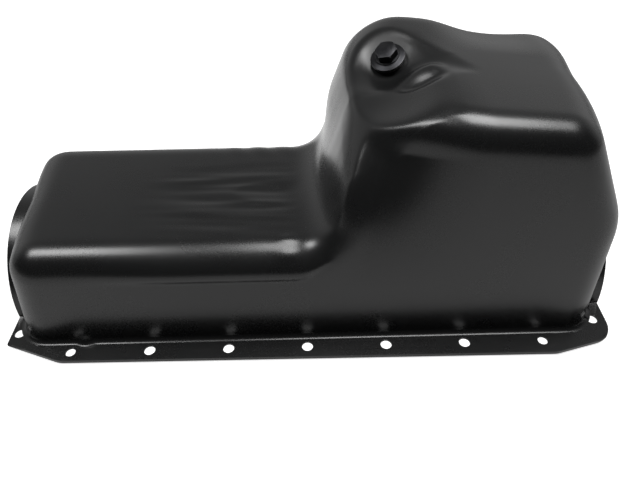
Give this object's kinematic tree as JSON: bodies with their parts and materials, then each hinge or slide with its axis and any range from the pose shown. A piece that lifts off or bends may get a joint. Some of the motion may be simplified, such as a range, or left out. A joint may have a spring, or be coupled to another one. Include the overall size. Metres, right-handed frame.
{
  "type": "engine oil pan",
  "caption": "Pressed steel engine oil pan with a shallow tray, a deep sump, half-round end arches, a bolted rail and an angled drain plug.",
  "frame": {"origin": "middle of the gasket face, in plan, at the height of the gasket face", "axes": "+X along the crankshaft towards the deep sump, +Z from the gasket face towards the sump floor (the pan is stored upside down, as it stands on its rail), -Y towards the near rail"},
  "size_m": [0.5214, 0.2608, 0.2045],
  "materials": {
    "black_paint": "satin black paint over pressed steel",
    "plug_steel": "black coated steel",
    "gasket_rubber": "matt black rubber",
    "nut_steel": "satin black paint over steel"
  },
  "bodies": {
    "pan": {"pan_shell": "black_paint", "weld_nut": "nut_steel"},
    "washer": {"drain_gasket": "gasket_rubber"},
    "plug": {"drain_plug": "plug_steel"}
  },
  "joints": [
    {"name": "plug_lift", "type": "slide", "parent": "pan", "child": "washer", "axis": [-0.2894, -0.3498, 0.891], "range_m": [0, 0.0102]},
    {"name": "plug_turn", "type": "hinge", "parent": "washer", "child": "plug", "pos_m": [0.0693, 0.027, 0.19], "axis": [-0.2894, -0.3498, 0.891], "range_deg": [0, 2880]}
  ],
  "couplings": [
    {"joint": "plug_lift", "follows": "plug_turn", "m_per_rad": 0.00020213}
  ]
}
